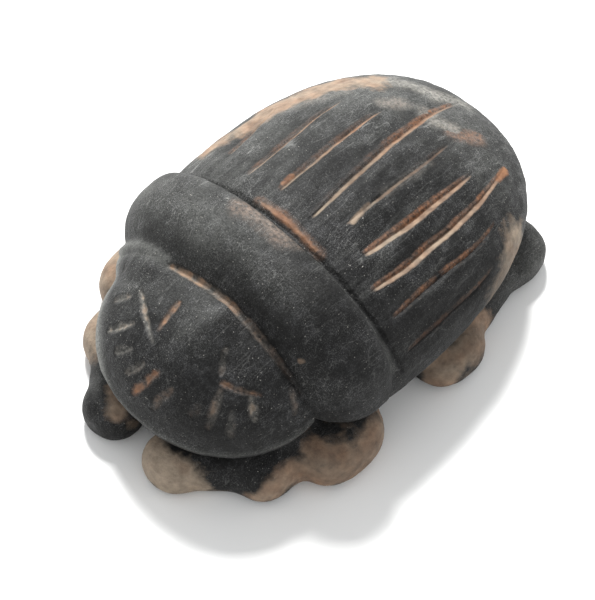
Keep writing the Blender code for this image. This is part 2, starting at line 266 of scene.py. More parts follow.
# Where the stain is worn through: a path over the surface, how far it reaches from the path, how bare
# the stone is and how warm
FAR_FLANK = ((-6.7, 0.6, 5.6), (-6.4, 2.6, 6.1), (-5.9, 4.8, 6.4), (-5.2, 6.8, 6.4), (-4.0, 8.6, 6.6))
WORN = {
    "far flank": (FAR_FLANK, 1.15, 1.0, 0.25),
    "rear seam": (((-1.7, -1.50, 9.0), (-0.2, -1.48, 9.2), (1.7, -1.60, 8.9)), 0.20, 0.55, 0.9),
    "start of groove 5": (((1.9, 0.7, 9.0), (1.72, 1.9, 8.85)), 0.20, 0.75, 0.1),
    "start of groove 3": (((-1.85, 0.0, 9.0), (-1.9, 0.6, 8.97)), 0.22, 0.6, 0.9),
    "end of groove 7": (((4.2, 8.6, 6.6), (3.97, 9.4, 6.18)), 0.24, 0.7, 1.0),
    "thorax nick": (((4.63, -5.56, 7.35), (4.70, -5.45, 7.4)), 0.16, 0.6, 0.2),
    "left flank": (((6.2, 7.5, 4.9), (6.8, 6.4, 4.6), (7.3, 5.3, 4.1), (7.2, 5.0, 3.2)), 1.35, 0.85, 0.2),
    "right mid knee": (((-7.6, -5.8, 1.8), (-7.6, -4.0, 1.8)), 2.10, 1.0, 0.15),
    "right fore knee": (((-5.9, -9.0, 1.4), (-5.2, -8.4, 2.0)), 1.75, 0.95, 0.1),
    "right fore foot": (((-1.6, -11.2, 2.3), (-2.2, -10.6, 2.3)), 0.75, 0.75, 0.2),
    "left fore foot": (((0.8, -11.6, 1.0), (1.8, -11.6, 1.4), (3.3, -11.5, 0.6)), 1.70, 1.0, 0.0),
    "left fore knee": (((6.0, -9.5, 0.8), (6.2, -8.8, 1.4), (6.3, -7.6, 1.6)), 0.85, 0.9, 0.35),
    "left mid knee": (((6.9, -6.4, 1.4), (7.6, -5.0, 1.4), (8.0, -3.2, 1.2)), 1.85, 1.0, 0.4),
    "left hind knee": (((7.7, 1.0, 1.4), (7.5, 2.6, 1.7), (7.3, 4.2, 1.4)), 1.30, 1.0, 0.3),
}

# Thin smears that let the stain show through: a path, how far it reaches, how strong and how warm
SMEARED = {
    "tail": (((-3.6, 9.2, 6.5), (-2.2, 9.9, 6.7), (-1.2, 10.2, 6.5), (-0.3, 11.0, 5.9)), 0.85, 0.75, 0.0),
    "across groove 4": (((-0.6, 8.6, 7.6), (0.26, 8.45, 7.5), (1.1, 8.8, 7.3)), 0.60, 0.65, 0.05),
    "orange patch": (((1.2, 8.5, 7.43), (1.7, 9.0, 7.2), (2.1, 9.5, 6.8)), 0.60, 0.55, 0.8),
    "right of groove 4": (((-2.2, 7.3, 7.8), (-1.5, 8.2, 7.6)), 0.55, 0.55, 0.2),
    "thorax top": (((-1.8, -2.6, 9.9), (-0.6, -2.45, 9.97), (0.8, -2.4, 9.93)), 0.85, 0.55, 0.45),
    "rear seam": (((-2.0, -1.45, 9.0), (-0.2, -1.4, 9.2), (2.0, -1.6, 8.9)), 0.34, 0.50, 0.8),
    "along groove 5": (((1.8, 3.0, 8.8), (1.9, 6.0, 8.2)), 0.35, 0.3, 0.1),
    "above far flank": (((-6.2, 2.6, 6.8), (-5.2, 4.6, 7.3), (-4.2, 6.8, 7.3)), 0.50, 0.35, 0.1),
}

# Painted highlights and light, drawn as grey, on edges and tops turned to the window: a path, how far it
# reaches and how grey it is
PAINTED_HIGHLIGHTS = {
    "nose ridge": (((-0.2, -5.8, 7.9), (0.5, -7.2, 7.9), (0.7, -8.3, 7.5)), 0.75, 0.14),
    "left hind foot": (((6.9, 9.2, 1.6), (6.3, 7.6, 2.1)), 1.60, 0.50),
    "thorax top": (((-2.8, -4.3, 9.4), (0.0, -4.2, 9.7), (2.2, -4.2, 9.6)), 1.40, 0.30),
    "tail": (((-3.0, 7.0, 7.5), (0.5, 9.8, 6.7), (3.2, 8.6, 6.8)), 1.60, 0.30),
    "thorax edge": (((2.4, -2.15, 9.2), (4.4, -2.15, 8.4), (6.2, -2.2, 7.0), (7.2, -2.2, 5.6)), 0.24, 0.8),
    "thorax right": (((-6.9, -4.3, 7.0), (-5.2, -4.8, 8.4), (-2.5, -5.0, 9.2)), 1.30, 0.35),
}

# Painted shade on sides turned from the window, in hollows and under the shell's edge: a path, how far it
# reaches and how dark it is
PAINTED_SHADE_SIDES = {
    "right of groove 4": (((-0.9, 0.5, 9.2), (-0.4, 3.0, 9.0)), 1.00, 0.85),
    "along groove 5": (((1.9, 4.0, 8.6), (1.7, 6.6, 7.9)), 1.30, 0.65),
    "above left mid knee": (((6.4, -6.6, 2.1), (7.8, -5.6, 2.1), (7.9, -4.4, 2.1)), 1.80, 0.60),
    "above left hind knee": (((7.7, 0.8, 2.2), (7.5, 2.1, 2.1), (7.8, 3.5, 2.0)), 1.50, 0.60),
    "beside nose ridge": (((1.9, -6.6, 7.7), (2.2, -7.8, 7.4)), 0.80, 0.40),
    "left flank": (((6.8, -1.0, 6.0), (7.2, 1.5, 5.7), (7.2, 5.0, 4.6)), 2.00, 1.0),
    "thorax top": (((2.2, -3.0, 9.8), (3.9, -3.1, 9.3), (5.6, -3.6, 8.2)), 1.20, 0.65),
    "head rim, left": (((2.0, -10.5, 5.4), (3.4, -10.1, 4.9), (4.7, -9.2, 4.4)), 1.50, 0.90),
}

# The stone and its stain close up: size in millimetres, detail and roughness of a noise, and the ramp
# that turns its readings into a colour or a strength. Steatite's own grain is near 0.02 mm, too fine
# for the render, so the finest pattern is drawn at 0.05 mm, about a pixel.
STONE_PATTERNS = {
    "stain": (0.8, 9.0, 0.85, ((0.34, "050505"), (0.50, "161616"), (0.68, "353536"))),
    "powder_and_light": (1.6, 4.0, 0.6, ((0.30, 0.033), (0.70, 1.0))),
    "pale_stone": (0.5, 4.0, 0.6, ((0.30, "776a5c"), (0.70, "9d8e7c"))),
    "brown_stone": (0.5, 4.0, 0.6, ((0.30, "5c4031"), (0.70, "93694b"))),
    "scratches": (0.35, 1.0, 0.5, ((0.488, 0.0), (0.500, 0.45), (0.512, 0.0))),
    "worn_edge": (0.22, 4.0, 0.6, ((0.50, 0.0), (1.00, 0.30))),
    "patches": (0.16, 3.0, 0.6, ((0.30, 0.074), (0.70, 1.0))),
    "grit": (0.12, 3.0, 0.6, ((0.42, 0.55), (0.55, 1.0))),
    "pits": (0.11, 3.0, 0.6, ((0.30, 0.6), (0.42, 0.0))),
    "flecks": (0.075, 0.0, 0.6, ((0.80, 0.0), (0.85, 0.5))),
    "fine_grain": (0.05, 2.0, 0.6, ((0.52, 0.0), (0.72, 0.75))),
}

# How the scratches lie: their turn from the scarab's length, and how they are drawn out along it
SCRATCH_TURN = 0.7
SCRATCH_STRETCH = (1.0, 0.10, 0.5)

# The sockets of a mixing node: how much of the upper colour shows, the two colours and the result
FACTOR = 0
UNDER = 6
OVER = 7
MIXED = 2

# The bumps of the surface, in millimetres
BUMP_SIZE = 0.14
BUMP_HEIGHT = 0.05

# The table's side, in metres
TABLE_SIZE = 1.2

# The photograph's camera: turn, height angle and roll in degrees, distance in millimetres from a point
# in the middle of the shell, and how far past that point the lens aims, in the photograph's pixels
CAMERA_TURN = 40.416
CAMERA_HEIGHT = 57.408
CAMERA_ROLL = 3.445
CAMERA_DISTANCE = 108.391
AIM_AHEAD_OF_TAIL = 12.0
AIM_HEIGHT = 4.8
SENSOR_SIZE = 36.0
PHOTO_HEIGHT_PIXELS = 600
LENS_PIXELS = 2285.17
PAST_AIM_ACROSS_PIXELS = 14.361
PAST_AIM_ABOVE_PIXELS = 46.697


def superellipse(share, power):
    """How high a superellipse stands at a share of its half length."""
    return np.maximum(0.0, 1.0 - np.abs(share) ** power) ** (1.0 / power)


def plan_share(x, y, half_width, half_length, plan):
    """How far a place is from the middle of a superellipse, as a share of the way to its outline."""
    return (np.abs(x / half_width) ** plan + np.abs(y / half_length) ** plan) ** (1.0 / plan)


def wing_half_width(y):
    return WING_HALF_WIDTH * float(superellipse((y - WIDEST_Y) / WIDEST_FROM_TAIL, WING_PLAN))


def wing_height(x, y):
    share = plan_share(x, y - WIDEST_Y, WING_HALF_WIDTH, WIDEST_FROM_TAIL, WING_PLAN)
    return EDGE_HEIGHT + WING_RISE * superellipse(np.minimum(share, 1.0), WING_PROFILE)


def head_height(x, y):
    share = plan_share(x, y - HEAD_Y, HEAD_HALF_WIDTH, HEAD_AHEAD, HEAD_PLAN)
    return RIM_HEIGHT + HEAD_RISE * superellipse(np.minimum(share, 1.0), HEAD_PROFILE)


def thorax_height(x, y):
    half_length = THORAX_AHEAD if y < THORAX_Y else THORAX_BEHIND
    share = plan_share(x - THORAX_SHIFT, y - THORAX_Y, THORAX_HALF_WIDTH, half_length, THORAX_PLAN)
    return EDGE_HEIGHT + THORAX_RISE * superellipse(np.minimum(share, 1.0), THORAX_PROFILE)


def boulder(points, place, half_width, ahead, behind, above, below, powers):
    """Signed distance, near enough, from a form whose plan and upright section are superellipses."""
    plan, top, under = powers
    away = points - np.array(place)
    length = np.where(away[:, 1] < 0.0, ahead, behind)
    height = np.where(away[:, 2] < 0.0, below, above)
    profile = np.where(away[:, 2] < 0.0, under, top)
    across = plan_share(away[:, 0], away[:, 1], half_width, length, plan)
    reach = (across ** profile + np.abs(away[:, 2] / height) ** profile) ** (1.0 / profile)
    reach = np.maximum(reach, TINY)
    return np.linalg.norm(away, axis=1) * (1.0 - 1.0 / reach)


def bar(points, start, end, radius):
    """Signed distance from a round bar with round ends."""
    start, end = np.array(start), np.array(end)
    along = end - start
    share = np.clip((points - start) @ along / (along @ along), 0.0, 1.0)
    return np.linalg.norm(points - start - share[:, None] * along, axis=1) - radius


def soft_union(first, second, fillet):
    """Joins two forms with a fillet of about this radius between them."""
    blend = np.maximum(fillet - np.abs(first - second), 0.0) / fillet
    return np.minimum(first, second) - blend ** 2 * fillet / 4.0


def lobe_place(name, side):
    """The middle of a lobe, on the right with side -1 and on the left with side 1."""
    across, along = LOBES[name][:2]
    shift = FORE_FOOT_SHIFT if name == "fore_foot" else 0.0
    return (side * across * WING_HALF_WIDTH + shift, along * TAIL_Y, LOBE_CENTRE_HEIGHT)


def legs(points):
    """Signed distance, near enough, from the lobes, shins and thighs of both sides."""
    found = np.full(len(points), FAR_OFF)
    for side in (-1, 1):
        for name, (_, _, half_width, half_length, height) in LOBES.items():
            lobe = boulder(
                points, lobe_place(name, side), half_width, half_length, half_length,
                height - LOBE_CENTRE_HEIGHT, LOBE_CENTRE_HEIGHT + LOBE_UNDERCUT, LOBE_POWERS,
            )
            found = soft_union(found, lobe, FOOT_FILLET)
        for first, last in SHINS:
            shin = bar(points, lobe_place(first, side), lobe_place(last, side), SHIN_RADIUS)
            found = soft_union(found, shin, LEG_FILLET)
        for name, across, along in THIGHS:
            hip = (side * across * WING_HALF_WIDTH, along * TAIL_Y, HIP_HEIGHT)
            thigh = bar(points, lobe_place(name, side), hip, THIGH_RADIUS)
            found = soft_union(found, thigh, LEG_FILLET)
    return found


def form(points):
    """Signed distance, near enough, from the whole uncut scarab."""
    wing = boulder(
        points, (0.0, WIDEST_Y, EDGE_HEIGHT), WING_HALF_WIDTH, WIDEST_FROM_TAIL, WIDEST_FROM_TAIL,
        WING_RISE, SHELL_DEPTH, (WING_PLAN, WING_PROFILE, WING_PROFILE),
    )
    wing = np.maximum(wing, WING_START_Y - points[:, 1])
    thorax = boulder(
        points, (THORAX_SHIFT, THORAX_Y, EDGE_HEIGHT), THORAX_HALF_WIDTH, THORAX_AHEAD, THORAX_BEHIND,
        THORAX_RISE, SHELL_DEPTH, (THORAX_PLAN, THORAX_PROFILE, THORAX_PROFILE),
    )
    thorax = -soft_union(-thorax, REAR_LINE_Y - points[:, 1], SHOULDER)
    head = boulder(
        points, (0.0, HEAD_Y, RIM_HEIGHT), HEAD_HALF_WIDTH, HEAD_AHEAD, HEAD_BEHIND,
        HEAD_RISE, RIM_THICKNESS, (HEAD_PLAN, HEAD_PROFILE, FLAT_PROFILE),
    )
    x, y = points[:, 0], points[:, 1]
    span = np.clip((NECK_Y - y) / RIDGE_LENGTH, 0.0, 1.0)
    ridge = np.sin(np.pi * span) ** RIDGE_BLUNTNESS * np.exp(-((x - RIDGE_SHIFT) / RIDGE_HALF_WIDTH) ** 2)
    head = head - RIDGE_RISE * ridge
    place, (half_width, half_length), (above, below), powers = BELLY
    belly = boulder(points, place, half_width, half_length, half_length, above, below, powers)
    shell = np.minimum(np.minimum(wing, thorax), head)
    whole = soft_union(soft_union(belly, legs(points), LEG_FILLET), shell, SHELL_FILLET)
    whole = soft_union(whole, path_distance(points, CORNER) - CORNER_RADIUS, CORNER_FILLET)
    whole = soft_union(whole, path_distance(points, RIB) - RIB_RADIUS, RIB_FILLET)
    return np.maximum(whole, -points[:, 2])


def slope(points, field, step=0.01):
    """The field's value and its gradient."""
    value = field(points)
    gradient = np.empty_like(points)
    for axis in range(3):
        moved = points.copy()
        moved[:, axis] += step
        gradient[:, axis] = (field(moved) - value) / step
    return value, gradient


def settle(points, turns):
    """Moves points onto the uncut surface, by short moves down the slope of its distance."""
    weakest_slope, longest_move = 0.2, 0.15
    for _ in range(turns):
        value, gradient = slope(points, form)
        strength = np.maximum((gradient ** 2).sum(axis=1), weakest_slope)
        move = -(value / strength)[:, None] * gradient
        length = np.linalg.norm(move, axis=1)
        points = points + move * np.minimum(1.0, longest_move / np.maximum(length, TINY))[:, None]
    return points


def relax(points, edges, share):
    """Moves each point towards the middle of its neighbours."""
    total = np.zeros_like(points)
    count = np.zeros(len(points))
    for a, b in ((edges[:, 0], edges[:, 1]), (edges[:, 1], edges[:, 0])):
        np.add.at(total, a, points[b])
        np.add.at(count, a, 1.0)
    return points + share * (total / count[:, None] - points)


def grain(points, size, octaves=1, seed=0.0):
    """Noise from about -1 to 1 with features of about this size, in millimetres."""
    made = np.zeros(len(points))
    strength = 1.0
    for octave in range(octaves):
        scaled = points * (2 ** octave / size) + seed + OCTAVE_SHIFT * octave
        made += strength * np.array([noise.noise(place) for place in scaled.tolist()])
        strength *= 0.5
    return made


def on_top(x, y, height):
    """A path over the top of a form whose height is given by a function."""
    return np.array([(a, b, float(height(a, b))) for a, b in zip(x, y)])


def groove_lines():
    """The wing cases' grooves: path, half width, depth and how bare each wall is."""
    found = []
    steps = np.linspace(0.0, 1.0, 40)
    for number, groove in enumerate(GROOVES):
        front, back, start, length, half_width, depth, *walls = groove
        y = REAR_LINE_Y + start + length * steps
        share = front + (back - front) * steps
        x = share * np.array([wing_half_width(value) for value in y])
        wander = np.array([noise.noise((value / WANDER_LENGTH, 3.7 * number, 0.0)) for value in y])
        path = on_top(x + GROOVE_WANDER * wander, y, wing_height)
        found.append((path, half_width, depth, *walls))
    return found


def head_lines():
    """The head's short strokes and the cuts round the eyes: path, half width, depth, bareness at
    both ends and warmth."""
    found = []
    steps = np.linspace(0.0, 1.0, 12)
    for outer_turn, inner_turn, outer, inner, bare, warm in STROKES:
        turn = np.radians(outer_turn + (inner_turn - outer_turn) * steps)
        reach = 1.0 / plan_share(np.sin(turn), np.cos(turn), HEAD_HALF_WIDTH, HEAD_AHEAD, HEAD_PLAN)
        distance = reach * (outer + (inner - outer) * steps)
        path = on_top(np.sin(turn) * distance, HEAD_Y - np.cos(turn) * distance, head_height)
        found.append((path, STROKE_HALF_WIDTH, STROKE_DEPTH, bare, bare, warm))
    for corners, bare, warm in EYE_CUTS:
        at = np.linspace(0.0, len(corners) - 1.0, 16)
        x = np.interp(at, range(len(corners)), [corner[0] for corner in corners])
        ahead = np.interp(at, range(len(corners)), [corner[1] for corner in corners])
        path = on_top(x, NECK_Y - ahead, head_height)
        found.append((path, EYE_HALF_WIDTH, EYE_DEPTH, bare, bare, warm))
    return found


def neck_line(x):
    """Where the thorax comes down to the head plate, found by halving the stretch between them."""
    front, back = THORAX_Y - THORAX_AHEAD, THORAX_Y
    for _ in range(24):
        middle = (front + back) / 2
        if thorax_height(x, middle) > head_height(x, middle):
            back = middle
        else:
            front = middle
    return back


def seams():
    """The line between head and thorax, and the line between thorax and wing cases."""
    steps = 60
    x = np.linspace(*NECK_SPAN, steps) * HEAD_HALF_WIDTH
    y = np.array([neck_line(value) for value in x]) - NECK_INSET
    neck = (on_top(x, y, head_height), *NECK_CUT)
    x = REAR_SPAN * np.sin(np.linspace(-1.0, 1.0, steps) * np.pi / 2) * wing_half_width(REAR_LINE_Y)
    y = np.full(steps, REAR_LINE_Y + REAR_INSET)
    return [neck, (on_top(x, y, wing_height), *REAR_CUT)]


GROOVE_LINES = groove_lines()
PLAIN_LINES = head_lines() + seams()


def near_line(points, path, reach):
    """Which points are within reach of a path, how far they lie to its side (for a path towards the
    tail, plus is towards +X), and their share along it."""
    inside = ((points > path.min(axis=0) - reach) & (points < path.max(axis=0) + reach)).all(axis=1)
    chosen = np.flatnonzero(inside)
    if not len(chosen):
        return chosen, np.zeros(0), np.zeros(0)
    starts, along = path[:-1], np.diff(path, axis=0)
    square = (along ** 2).sum(axis=1)
    nearest = np.full(len(chosen), FAR_OFF)
    offset = np.zeros(len(chosen))
    share = np.zeros(len(chosen))
    for number, (start, step) in enumerate(zip(starts, along)):
        away = points[chosen] - start
        part = np.clip(away @ step / square[number], 0.0, 1.0)
        rest = away - part[:, None] * step
        distance = np.linalg.norm(rest, axis=1)
        closer = distance < nearest
        side = np.cross(step, (0.0, 0.0, 1.0))
        nearest[closer] = distance[closer]
        offset[closer] = (np.sign(rest @ side) * distance)[closer]
        share[closer] = ((number + part) / len(starts))[closer]
    close = nearest < reach
    return chosen[close], offset[close], share[close]


def cad_copy():
    """The solid's mesh as a new piece, merged and remeshed to an even net."""
    mesh = solid.data.copy()
    copy = bpy.data.objects.new("scarab_surface", mesh)
    bpy.context.scene.collection.objects.link(copy)
    bm = bmesh.new()
    bm.from_mesh(mesh)
    bmesh.ops.remove_doubles(bm, verts=bm.verts, dist=MERGE_DISTANCE * MM)
    bm.to_mesh(mesh)
    bm.free()
    modifier = copy.modifiers.new("Even net", "REMESH")
    modifier.mode = "VOXEL"
    modifier.voxel_size = NET_SPACING * MM
    graph = bpy.context.evaluated_depsgraph_get()
    net = bpy.data.meshes.new_from_object(copy.evaluated_get(graph))
    copy.modifiers.remove(modifier)
    copy.data = net
    return copy


def coordinates(mesh):
    found = np.empty(len(mesh.vertices) * 3)
    mesh.vertices.foreach_get("co", found)
    return found.reshape(-1, 3) / MM


def edge_pairs(mesh):
    found = np.empty(len(mesh.edges) * 2, int)
    mesh.edges.foreach_get("vertices", found)
    return found.reshape(-1, 2)


def place_all(mesh, points):
    mesh.vertices.foreach_set("co", (points * MM).ravel())
    mesh.update()


def fair(mesh, turns):
    """Evens out the net and keeps it on the uncut surface."""
    points, edges = coordinates(mesh), edge_pairs(mesh)
    for _ in range(turns):
        points = settle(relax(points, edges, 0.5), 1)
    place_all(mesh, settle(points, 2))


def refine(mesh, wanted):
    """Splits the faces whose corners are all wanted into four."""
    bm = bmesh.new()
    bm.from_mesh(mesh)
    bm.edges.ensure_lookup_table()
    chosen = [edge for edge in bm.edges if wanted[edge.verts[0].index] and wanted[edge.verts[1].index]]
    bmesh.ops.subdivide_edges(bm, edges=chosen, cuts=1, use_grid_fill=True)
    bm.to_mesh(mesh)
    bm.free()


def line_band(points, reach):
    """Which points lie on a cut line or within reach of its edges."""
    near = np.zeros(len(points), bool)
    for path, half_width, *_ in GROOVE_LINES + PLAIN_LINES:
        chosen, _, _ = near_line(points, path, half_width + reach)
        near[chosen] = True
    return near


def swell_of(share):
    """How full a cut is along its length: blunt where the graver went in, pointed where it came out."""
    return np.clip(np.sin(np.pi * np.clip(share, 0.0, 1.0) ** 0.75), 0.0, 1.0) ** 0.5


def step_between(value, start, end):
    """Rises smoothly from 0 at the start to 1 at the end, which may be the smaller of the two."""
    share = np.clip((value - start) / (end - start), 0.0, 1.0)
    return share * share * (3.0 - 2.0 * share)


def keep_larger(looks, name, chosen, strengths, tints):
    """Keeps the larger strength of bare stone or of smear at the chosen points, and its tint with it."""
    more = strengths > looks[name][chosen]
    looks[name][chosen[more]] = strengths[more]
    looks[TINT_OF[name]][chosen[more]] = tints[more]


def deepen(kept, chosen, values):
    """Keeps the larger value at the chosen points."""
    kept[chosen] = np.maximum(kept[chosen], values)


def path_distance(points, path):
    """How far points are from a path of straight stretches."""
    ends = list(zip(path, path[1:]))
    return np.min([bar(points, start, end, 0.0) for start, end in ends], axis=0)


def bell(distance, reach):
    """1 at no distance, dying away smoothly round the reach."""
    return np.exp(-(distance / reach) ** 2)


def cut_grooves(points, depth, looks):
    """Cuts the wing cases' grooves. Each has a steep bare wall towards +X, a longer brown wall and a
    worn valley towards -X, and painted shade over its long wall and bottom."""
    for number, (path, half_width, deepest, lit, shaded, shaded_end) in enumerate(GROOVE_LINES):
        chosen, offset, share = near_line(points, path, half_width * GROOVE_REACH)
        ragged = grain(points[chosen], RAGGED_GROOVE_SIZE, 2, 5.0 * number)
        chatter = grain(points[chosen], CHATTER_SIZE, 2, 5.0 * number + 2.0)
        swell = swell_of(share)
        width = half_width * (GROOVE_TIP + (1.0 - GROOVE_TIP) * swell) * (1.0 + 0.15 * ragged)
        across = (offset + 0.012 * chatter) / width
        long_wall, steep_wall = (1.0 + across) / 1.2, (0.9 - across) / 0.65
        cut = np.clip(np.minimum(long_wall, steep_wall), 0.0, 1.0) * swell
        valley = VALLEY_DEPTH * swell * bell(across + 1.1, 2.0)
        deepen(depth, chosen, deepest * np.maximum(cut, valley) * (1.0 + 0.12 * chatter))
        # Painted shade along the long wall and the bottom of the groove
        deepen(looks["painted_shade"], chosen, GROOVE_PAINTED_SHADE * swell * bell(across + 0.9, 1.0))
        fade = step_between(share, 0.0, 0.06) * step_between(share, 1.0, 0.85)
        if number in GAPS:
            fade *= 1.0 - bell(share - GAPS[number], GAP_LENGTH)
        on_steep = step_between(across, 0.0, 0.25) * step_between(across, 0.95, 0.6)
        shown = on_steep * lit * fade * (1.0 + 0.15 * chatter)
        tint = np.clip(0.15 + 0.5 * share + 0.4 * ragged, 0.0, 1.0)
        keep_larger(looks, "bare", chosen, shown, tint)
        on_long = step_between(across, -0.95, -0.6) * step_between(across, 0.3, 0.1)
        brown = np.clip((shaded + (shaded_end - shaded) * share ** 2) * (1.0 + 0.7 * ragged), 0.0, 1.0)
        tint = np.clip(0.9 + 0.3 * ragged, 0.0, 1.0)
        keep_larger(looks, "smear", chosen, on_long * brown * fade, tint)


def cut_plain_lines(points, depth, looks):
    """Cuts the seams and the strokes of the head as plain V-shaped lines, smeared and partly bare."""
    for number, (path, half_width, deepest, start_bare, end_bare, warmth) in enumerate(PLAIN_LINES):
        chosen, offset, share = near_line(points, path, half_width * PLAIN_REACH)
        ragged = grain(points[chosen], RAGGED_LINE_SIZE, 2, 7.0 * number + 1.0)
        swell = swell_of(share)
        width = half_width * (0.5 + 0.5 * swell) * (1.0 + 0.25 * ragged)
        cut = np.clip(1.0 - np.abs((offset + 0.03 * ragged) / width), 0.0, 1.0) * swell
        deepen(depth, chosen, deepest * cut)
        bareness = start_bare + (end_bare - start_bare) * share
        shown = step_between(cut, 0.0, 0.75) * bareness * (1.0 + 0.7 * ragged)
        tint = np.clip(warmth + 0.3 * ragged, 0.0, 1.0)
        keep_larger(looks, "bare", chosen, np.clip(1.4 * shown - 0.7, 0.0, 1.0), tint)
        keep_larger(looks, "smear", chosen, 0.75 * shown, tint)


def wear(points, edge, looks):
    """Wears the stain through in the worn places, with ragged edges, and lays the thin smears."""
    everyone = np.arange(len(points))
    crumbs = grain(points, CRUMB_SIZE, 2, 63.0)
    for path, reach, bareness, warmth in WORN.values():
        inside = 1.0 - path_distance(points, path) / reach + 0.40 * edge + 0.12 * crumbs
        shown = 1.25 * step_between(inside, -0.15, 0.75) * bareness
        keep_larger(looks, "bare", everyone, shown, np.clip(warmth + 0.35 * edge, 0.0, 1.0))
    # Less painted shade where the stone is bare
    looks["painted_shade"] *= 1.0 - 0.8 * np.clip(looks["bare"], 0.0, 1.0)
    for path, reach, strength, warmth in SMEARED.values():
        inside = 1.0 - path_distance(points, path) / reach + 0.30 * edge
        shown = step_between(inside, -0.2, 0.9) * strength * np.clip(1.0 + 0.5 * crumbs, 0.0, 1.5)
        keep_larger(looks, "smear", everyone, shown, np.clip(warmth + 0.2 * edge, 0.0, 1.0))


def darken(points, looks):
    """Paints shade into the hollow behind the neck line and onto the sides listed for it."""
    x = np.linspace(-5.0, 5.2, 14)
    y = np.array([neck_line(value) for value in x]) + NECK_SHADE_BEHIND
    hollow = on_top(x, y, thorax_height)
    everyone = slice(None)
    # Painted shade in the hollow behind the neck line
    deepen(looks["painted_shade"], everyone, NECK_SHADE * bell(path_distance(points, hollow), NECK_SHADE_REACH))
    # Painted shade on the sides listed for it
    for path, reach, dark in PAINTED_SHADE_SIDES.values():
        deepen(looks["painted_shade"], everyone, dark * bell(path_distance(points, path), reach))


def head_lip(points):
    """The thin raised lip along the head plate's rim, wider on its right, and the painted highlight along
    it.
    """
    x, y, z = points.T
    right_side = step_between(x, -1.5, -4.0)
    rim = plan_share(x, y - HEAD_Y, HEAD_HALF_WIDTH, HEAD_AHEAD, HEAD_PLAN)
    band = 0.20 + 0.42 * right_side
    lip = bell(z - RIM_HEIGHT - band, band) * step_between(rim, 0.85, 0.95) * (y < NECK_Y)
    return lip, (0.5 + 1.8 * right_side) * lip


def paint_light(points, outward, edge, looks):
    """Paints light, as grey, on what faces the window, a highlight along the rib behind the head, and
    highlights on the edges and tops listed for it.
    """
    x, y, _ = points.T
    back_middle = step_between(y, REAR_LINE_Y, REAR_LINE_Y + SEAM_FADE) * step_between(x, -4.0, -1.5)
    # Painted light: the sides turned to the window are painted lighter, less so behind the middle of the
    # rear seam
    facing = np.clip(outward @ np.array(PAINTED_LIGHT_SIDE), 0.0, 1.0) ** 3
    looks["dust_and_painted_light"] += PAINTED_LIGHT_AMOUNT * facing * (1.0 + 0.6 * edge) * (1.0 - 0.35 * back_middle)
    # A painted highlight along the rib behind the head
    looks["dust_and_painted_light"] += 1.3 * bell(path_distance(points, RIB), 0.35)
    # Painted highlights and painted light on the listed edges and tops
    for path, reach, grey in PAINTED_HIGHLIGHTS.values():
        looks["dust_and_painted_light"] += grey * bell(path_distance(points, path), reach) * (1.0 + 0.5 * edge)


def carve(points):
    """Cuts, wears and roughens the smooth surface, and gives back the new places and the looks there:
    how bare and warm the stone is, how smeared and in what tint, how much dust and painted light, and how
    much painted shade."""
    _, gradient = slope(points, form)
    outward = gradient / np.maximum(np.linalg.norm(gradient, axis=1), TINY)[:, None]
    x, y, z = points.T
    depth = np.zeros(len(points))
    looks = {name: np.zeros(len(points)) for name in LOOKS}
    looks["warm"] += PLAIN_WARMTH
    # Painted shade low on the legs, under the shell's edge
    looks["painted_shade"] += UNDER_SHELL_SHADE * step_between(z, 3.2, 1.6)
    cut_grooves(points, depth, looks)
    cut_plain_lines(points, depth, looks)
    edge = grain(points, WORN_EDGE_SIZE, 4, 31.0)
    wear(points, edge, looks)
    darken(points, looks)
    paint_light(points, outward, edge, looks)
    lip, lip_highlight = head_lip(points)
    stretched = np.column_stack((x / STREAK_WIDTH, y / STREAK_LENGTH, z / STREAK_WIDTH))
    streaks = grain(stretched, 1.0, 2, 50.0) * step_between(y, REAR_LINE_Y, REAR_LINE_Y + SEAM_FADE)
    # A painted highlight along the lip of the head plate, and real dust in the streaks
    looks["dust_and_painted_light"] += lip_highlight + 0.35 * np.clip(streaks, 0.0, 1.0)
    waves = WAVE_HEIGHT * grain(points, WAVE_SIZE, 2)
    roughness = GRAIN_HEIGHT * grain(points, GRAIN_SIZE, 3, 9.0) + STREAK_HEIGHT * streaks
    moved = points + outward * (waves + roughness + LIP_RISE * lip - depth)[:, None]
    return moved, looks


def fitted(points):
    """Points kept inside the solid's own box and above the table."""
    inset = 0.002
    lowest = np.array(cad_low) / MM + inset
    highest = np.array(cad_high) / MM - inset
    lowest[2] = 0.0
    return np.clip(points, lowest, highest)


def store(mesh, name, values):
    attribute = mesh.attributes.new(name, "FLOAT", "POINT")
    attribute.data.foreach_set("value", values.astype(np.float32))


def linear(code):
    """A colour written as sRGB hex, as the linear values a shader takes."""
    parts = [int(code[place:place + 2], 16) / 255 for place in (0, 2, 4)]
    return [part / 12.92 if part <= 0.04045 else ((part + 0.055) / 1.055) ** 2.4 for part in parts] + [1.0]


def add_node(tree, kind, inputs, output=0, stops=(), **settings):
    """Adds a shader node with its settings, gives its inputs a value or a link, sets a ramp's stops to
    sRGB colours or plain strengths, and hands back one output."""
    node = tree.nodes.new(kind)
    for name, value in settings.items():
        setattr(node, name, value)
    for socket, value in inputs.items():
        if isinstance(value, bpy.types.NodeSocket):
            tree.links.new(value, node.inputs[socket])
        else:
            node.inputs[socket].default_value = value
    while stops and len(node.color_ramp.elements) < len(stops):
        node.color_ramp.elements.new(0.5)
    for number, (place, shade) in enumerate(stops):
        element = node.color_ramp.elements[number]
        element.position = place
        element.color = linear(shade) if isinstance(shade, str) else (shade, shade, shade, 1.0)
    return node.outputs[output]


